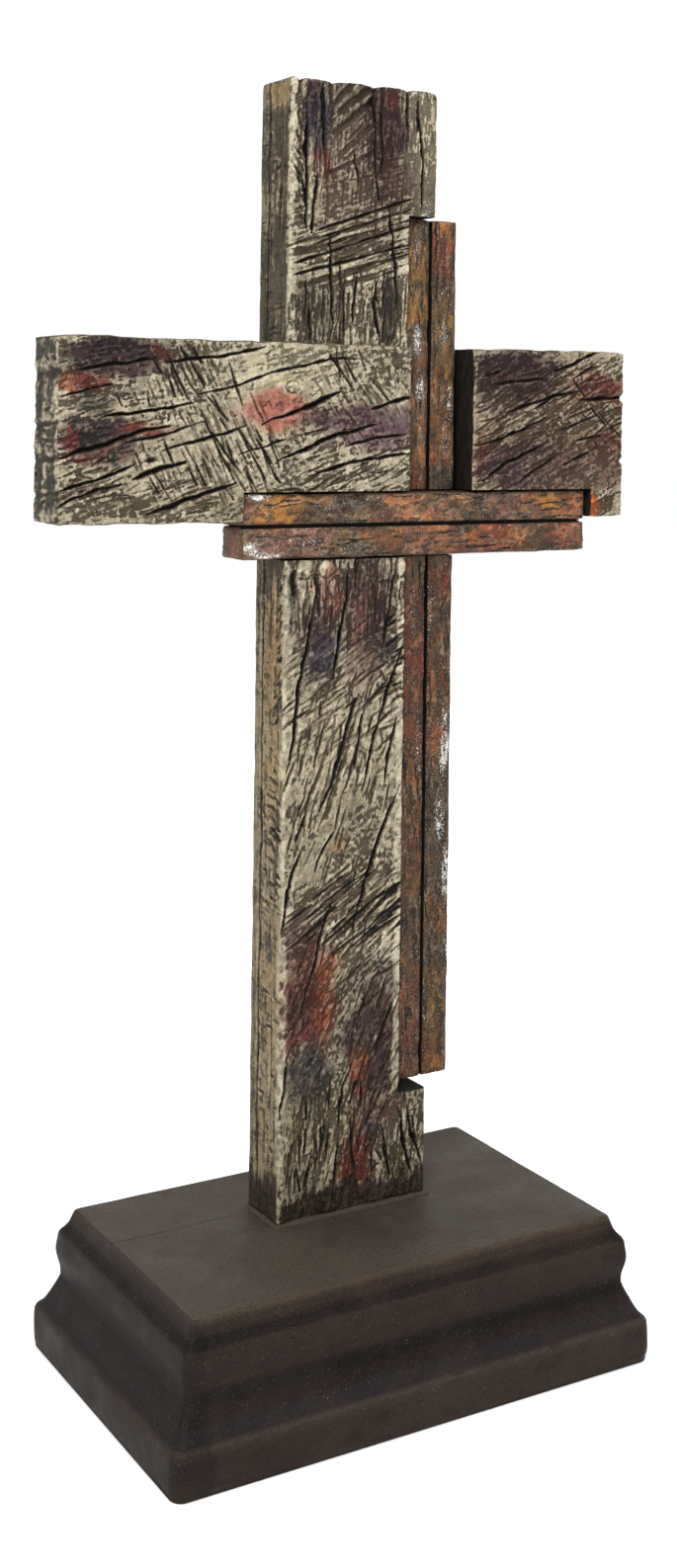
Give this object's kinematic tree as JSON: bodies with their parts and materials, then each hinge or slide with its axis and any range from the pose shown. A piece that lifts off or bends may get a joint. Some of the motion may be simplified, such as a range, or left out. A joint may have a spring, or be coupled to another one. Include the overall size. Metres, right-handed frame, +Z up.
{
  "type": "tabletop cross",
  "caption": "Standing cross of weathered, carved planks with four inlaid metal-look bars, two upright and two crosswise, on a moulded dark brown base.",
  "frame": {"origin": "centre of the bounding box at the underside of the base's foot", "axes": "+Z up along the upright, -Y towards the viewer of the carved front, +X towards the arm with the open channel"},
  "size_m": [0.1846, 0.094, 0.356],
  "materials": {
    "dark_brown_base": "satin paint over cast resin",
    "weathered_cream": "matt, distressed paint over cast resin",
    "copper_patina": "patinated metallic paint"
  },
  "bodies": {
    "root": {"base": "dark_brown_base", "cross_body": "weathered_cream", "crosswise_bar_upper": "copper_patina", "crosswise_bar_lower": "copper_patina", "upright_bar_inner": "copper_patina", "upright_bar_outer": "copper_patina"}
  },
  "joints": []
}
